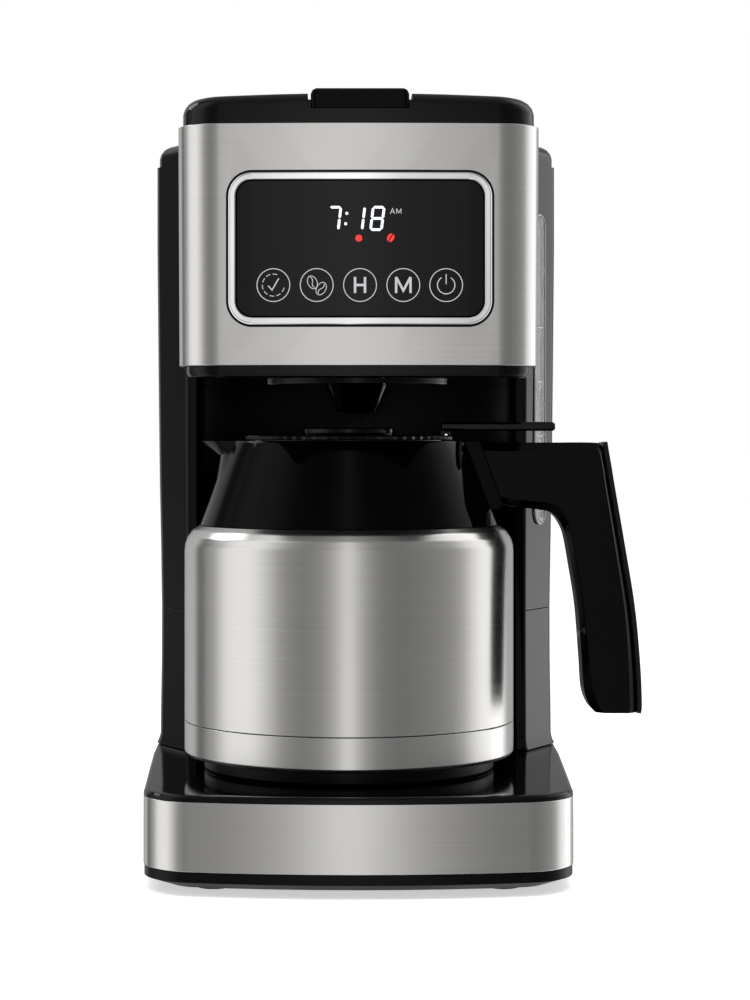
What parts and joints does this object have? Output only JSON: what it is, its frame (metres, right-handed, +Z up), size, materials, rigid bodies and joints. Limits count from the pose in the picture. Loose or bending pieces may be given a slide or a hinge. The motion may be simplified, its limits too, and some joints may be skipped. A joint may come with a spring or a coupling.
{
  "type": "drip coffee maker",
  "caption": "Drip coffee maker with a touch panel, hinged water and filter lid, level window and a steel thermal carafe with a thumb lever.",
  "frame": {"origin": "on the table, at the middle of the machine's outline with the carafe in place", "axes": "+Z up, -Y towards the user, +X towards the carafe handle"},
  "size_m": [0.2421, 0.25, 0.3608],
  "materials": {
    "gloss_black": "high-gloss moulded",
    "matte_black": "fine-textured moulded",
    "brushed_steel": "brushed along its length",
    "chrome": "polished plating",
    "panel_glass": "black-printed back, polished front",
    "clear_plastic": "clear moulded",
    "rubber": "matt",
    "silicone": "translucent silicone",
    "aluminium": "extruded",
    "circuit_board": "solder mask",
    "gold_mesh": "plated mesh"
  },
  "bodies": {
    "housing": {"base_shell": "gloss_black", "tower_lower_shell": "gloss_black", "tower_upper_shell": "gloss_black", "head_shell": "gloss_black", "rear_cap": "gloss_black", "base_plate": "matte_black", "rest_pad": "matte_black", "bay_wall": "matte_black", "brew_basket": "matte_black", "thermostat": "matte_black", "check_valve": "matte_black", "led_module": "matte_black", "base_band": "brushed_steel", "head_fascia": "brushed_steel", "heater_bracket": "brushed_steel", "drip_spring": "brushed_steel", "display_bezel": "chrome", "hinge_pin_left": "chrome", "hinge_pin_right": "chrome", "base_screw_1": "chrome", "base_screw_2": "chrome", "base_screw_3": "chrome", "base_screw_4": "chrome", "thermal_fuse": "chrome", "display_glass": "panel_glass", "level_window": "clear_plastic", "water_tank": "clear_plastic", "foot_1": "rubber", "foot_2": "rubber", "foot_3": "rubber", "foot_4": "rubber", "cord_gland": "rubber", "tank_hose": "silicone", "feed_hose": "silicone", "riser_tube": "silicone", "heater_tube": "aluminium", "control_board": "circuit_board", "power_board": "circuit_board", "mesh_filter": "gold_mesh"},
    "lid_body": {"lid": "gloss_black", "lid_tab": "gloss_black", "lid_liner": "matte_black", "shower_plate": "brushed_steel"},
    "drip_stop_body": {"drip_stop": "matte_black", "drip_seal": "silicone"},
    "carafe": {"carafe_shell": "brushed_steel", "carafe_band": "brushed_steel", "carafe_liner": "brushed_steel", "carafe_stand": "matte_black", "carafe_collar": "matte_black", "carafe_handle": "matte_black", "handle_strip": "gloss_black", "handle_screw": "chrome"},
    "carafe_lid": {"carafe_lid_base": "matte_black", "lid_gasket": "silicone", "carafe_lid_top": "matte_black", "lever_pin": "chrome"},
    "lever": {"lid_lever": "gloss_black", "pour_valve": "silicone"}
  },
  "joints": [
    {"name": "lid_hinge", "type": "hinge", "parent": "housing", "child": "lid_body", "pos_m": [-0.01604, 0.0933, 0.3556], "axis": [-1, 0, 0], "range_deg": [0, 100]},
    {"name": "carafe_slide", "type": "slide", "parent": "housing", "child": "carafe", "axis": [0, -1, 0], "range_m": [0, 0.26]},
    {"name": "carafe_lid_twist", "type": "hinge", "parent": "carafe", "child": "carafe_lid", "pos_m": [-0.02004, -0.025, 0.2035], "axis": [0, 0, -1], "range_deg": [0, 45]},
    {"name": "lever_press", "type": "hinge", "parent": "carafe_lid", "child": "lever", "pos_m": [0.02676, -0.025, 0.2064], "axis": [0, 1, 0], "range_deg": [0, 4.5], "stiffness_Nm_per_rad": 0.6, "springref_deg": -8.59},
    {"name": "drip_stop_lift", "type": "slide", "parent": "housing", "child": "drip_stop_body", "axis": [0, 0, 1], "range_m": [0, 0.003], "stiffness_N_per_m": 250, "springref_m": -0.004, "deforming": ["drip_spring"]}
  ]
}
